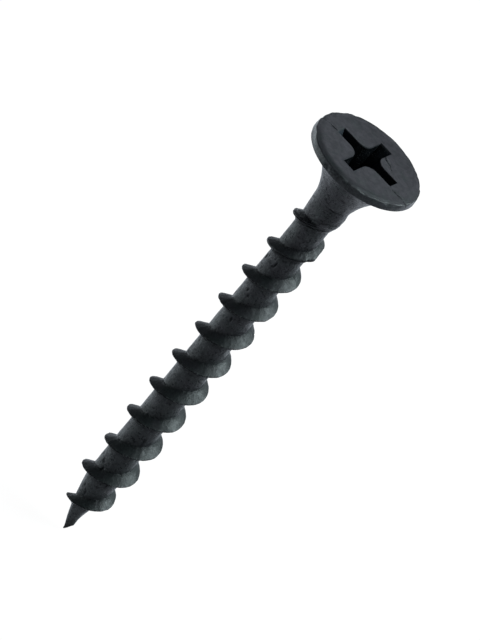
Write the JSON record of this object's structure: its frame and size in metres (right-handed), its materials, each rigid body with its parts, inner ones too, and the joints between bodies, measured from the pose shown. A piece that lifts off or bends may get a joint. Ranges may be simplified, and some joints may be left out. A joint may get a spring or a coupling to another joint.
{
  "type": "wood screw",
  "caption": "Coarse-thread screw with a trumpet-shaped countersunk head, a cross recess, a right-hand rolled thread and a pinched sharp point, in black phosphated steel.",
  "frame": {"origin": "on the axis of the screw, in the plane of the head's flat top", "axes": "+Z along the axis of the screw, out of the head; the four wings of the recess lie along X and Y; the point is at z = -0.038"},
  "size_m": [0.0086, 0.0086, 0.038],
  "materials": {
    "black_phosphate_steel": "matt black phosphate coating, slightly oily, worn a little lighter on the crests and the rim"
  },
  "bodies": {
    "root": {"wood_screw": "black_phosphate_steel"}
  },
  "joints": []
}
